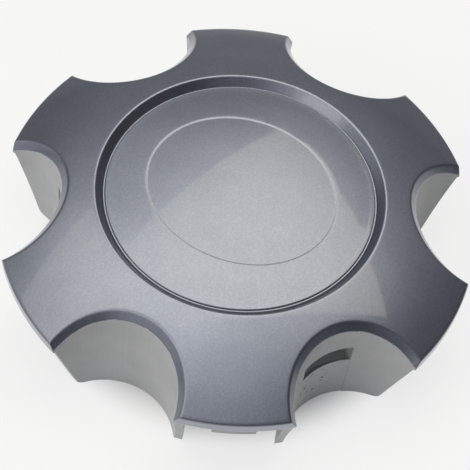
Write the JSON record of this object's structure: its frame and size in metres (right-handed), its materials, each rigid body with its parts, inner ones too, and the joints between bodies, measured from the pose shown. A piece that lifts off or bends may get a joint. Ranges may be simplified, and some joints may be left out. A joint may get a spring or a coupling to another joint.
{
  "type": "wheel centre cap",
  "caption": "One-piece moulded centre cap for a truck wheel: a crowned star face with lug scallops, a ring groove, an empty oval emblem recess and snap walls.",
  "frame": {"origin": "on the wheel axis, in the plane of the feet of the lug walls that the cap stands on", "axes": "+Z along the wheel axis, out of the painted face; one arm points along -Y and one along +Y; -X points at a lug scallop with a snap window"},
  "size_m": [0.1324, 0.1378, 0.0424],
  "materials": {
    "moulded_plastic": "fine metallic silver-grey paint under clear coat on the face, the bevels and the end bands; bare light-grey moulded plastic on the lug walls and the underside"
  },
  "bodies": {
    "root": {"centre_cap": "moulded_plastic"}
  },
  "joints": []
}
